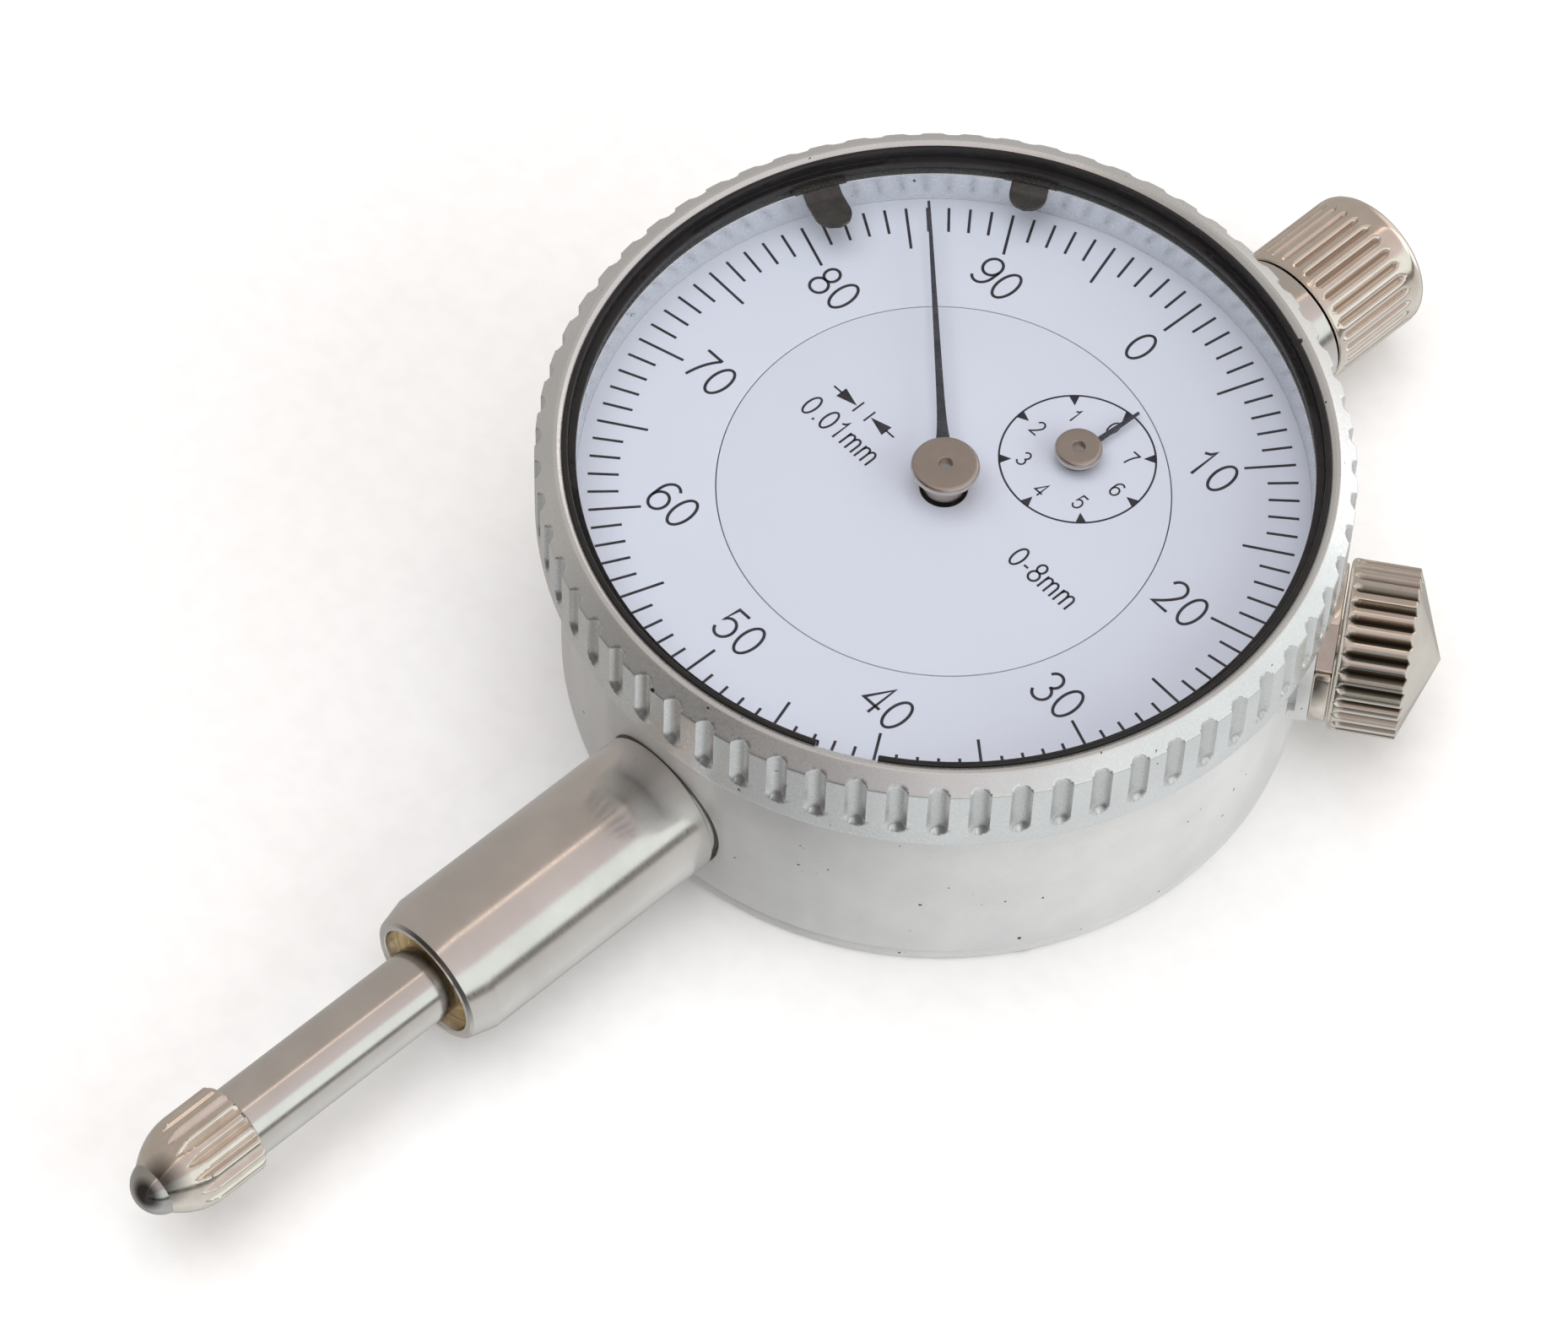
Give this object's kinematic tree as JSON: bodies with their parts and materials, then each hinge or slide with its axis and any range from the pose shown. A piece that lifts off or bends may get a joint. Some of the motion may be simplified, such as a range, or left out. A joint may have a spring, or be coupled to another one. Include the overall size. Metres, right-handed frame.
{
  "type": "dial indicator",
  "caption": "Plunger dial indicator with a round case, plain mounting stem, ball contact point, knurled dust cap, turning bezel with limit markers and a knurled bezel clamp.",
  "frame": {"origin": "centre of the back cover's outer face, on the dial's axis", "axes": "+Z from the back towards the dial, -Y along the stem towards the contact point, +X to the right when the dial is read with the stem down"},
  "size_m": [0.0437, 0.0881, 0.0183],
  "materials": {
    "case_aluminium": "satin anodised",
    "stem_steel": "ground and polished",
    "nickel_plate": "warm nickel plate",
    "brass": "machined",
    "plate_brass": "fine brushed",
    "screw_steel": "machined",
    "spring_steel": "drawn wire",
    "hardened_steel": "polished",
    "blued_steel": "black-blue",
    "dial_white": "satin white with black printing",
    "black_plastic": "satin",
    "crystal_clear": "clear"
  },
  "bodies": {
    "case": {"case_body": "case_aluminium", "back_cover": "case_aluminium", "back_cover_screws": "screw_steel", "stem": "stem_steel", "stem_bush": "brass", "cap_sleeve": "stem_steel", "upper_bush": "brass", "dust_cap": "nickel_plate", "clamp_washer": "nickel_plate", "rear_plate": "plate_brass", "front_plate": "plate_brass", "plate_pillars": "brass", "plate_screws": "screw_steel", "front_plate_screws": "screw_steel", "pinion_cock": "plate_brass", "cock_screws": "screw_steel", "guide_rail": "screw_steel", "guide_rail_screws": "screw_steel", "pivot_bushes": "brass", "spring_post": "screw_steel", "return_spring": "spring_steel", "hairspring": "spring_steel", "hairspring_stud": "brass", "dial_centre_disc": "dial_white", "dial_feet": "brass", "bezel_snap_ring": "spring_steel"},
    "spindle_group": {"spindle": "stem_steel", "guide_pin": "hardened_steel", "guide_pin_roller": "brass", "contact_point": "nickel_plate", "contact_ball": "hardened_steel"},
    "drive_arbor": {"rack_pinion_arbor": "hardened_steel", "transfer_gear": "brass"},
    "hand_arbor": {"centre_arbor": "hardened_steel", "main_hand": "blued_steel", "main_hand_hub": "nickel_plate"},
    "turn_counter": {"counter_arbor": "hardened_steel", "takeup_gear": "brass", "hairspring_collet": "brass", "small_hand": "blued_steel", "small_hand_hub": "nickel_plate"},
    "bezel": {"bezel_ring": "case_aluminium", "scale_ring": "dial_white", "crystal": "crystal_clear", "crystal_gasket": "black_plastic"},
    "marker_a": {"limit_marker_a": "black_plastic"},
    "marker_b": {"limit_marker_b": "black_plastic"},
    "clamp_knob": {"clamp_screw": "nickel_plate"},
    "clamp_nut": {"clamp_shoe": "screw_steel"}
  },
  "joints": [
    {"name": "spindle_slide", "type": "slide", "parent": "case", "child": "spindle_group", "axis": [0, 1, 0], "range_m": [0, 0.0083], "stiffness_N_per_m": 40, "springref_m": -0.01, "deforming": ["return_spring"]},
    {"name": "drive_arbor_turn", "type": "hinge", "parent": "case", "child": "drive_arbor", "pos_m": [-0.00287, -0.0066, 0.009], "axis": [0, 0, 1], "range_deg": [-0.5, 374]},
    {"name": "main_hand_turn", "type": "hinge", "parent": "case", "child": "hand_arbor", "pos_m": [0, 0, 0.009], "axis": [0, 0, 1], "range_deg": [-2992, 4]},
    {"name": "small_hand_turn", "type": "hinge", "parent": "case", "child": "turn_counter", "pos_m": [0.00333, 0.00638, 0.009], "axis": [0, 0, 1], "range_deg": [-0.5, 374]},
    {"name": "bezel_turn", "type": "hinge", "parent": "case", "child": "bezel", "pos_m": [0, 0, 0.0135], "axis": [0, 0, 1], "continuous": true},
    {"name": "marker_a_turn", "type": "hinge", "parent": "bezel", "child": "marker_a", "pos_m": [0, 0, 0.017], "axis": [0, 0, 1], "range_deg": [-12, 120]},
    {"name": "marker_b_turn", "type": "hinge", "parent": "bezel", "child": "marker_b", "pos_m": [0, 0, 0.017], "axis": [0, 0, 1], "range_deg": [-120, 12]},
    {"name": "clamp_screw_turn", "type": "hinge", "parent": "case", "child": "clamp_knob", "pos_m": [0.01714, 0.01264, 0.0066], "axis": [-0.8049, -0.5934, 0], "range_deg": [-90, 120]},
    {"name": "clamp_shoe_slide", "type": "slide", "parent": "case", "child": "clamp_nut", "axis": [0.8049, 0.5934, 0], "range_m": [-0.000115, 0.000152]}
  ],
  "couplings": [
    {"joint": "drive_arbor_turn", "follows": "spindle_slide", "rad_per_m": 785.4},
    {"joint": "main_hand_turn", "follows": "spindle_slide", "rad_per_m": -6283.2},
    {"joint": "small_hand_turn", "follows": "spindle_slide", "rad_per_m": 785.4},
    {"joint": "clamp_shoe_slide", "follows": "clamp_screw_turn", "m_per_rad": 0.00007162}
  ]
}
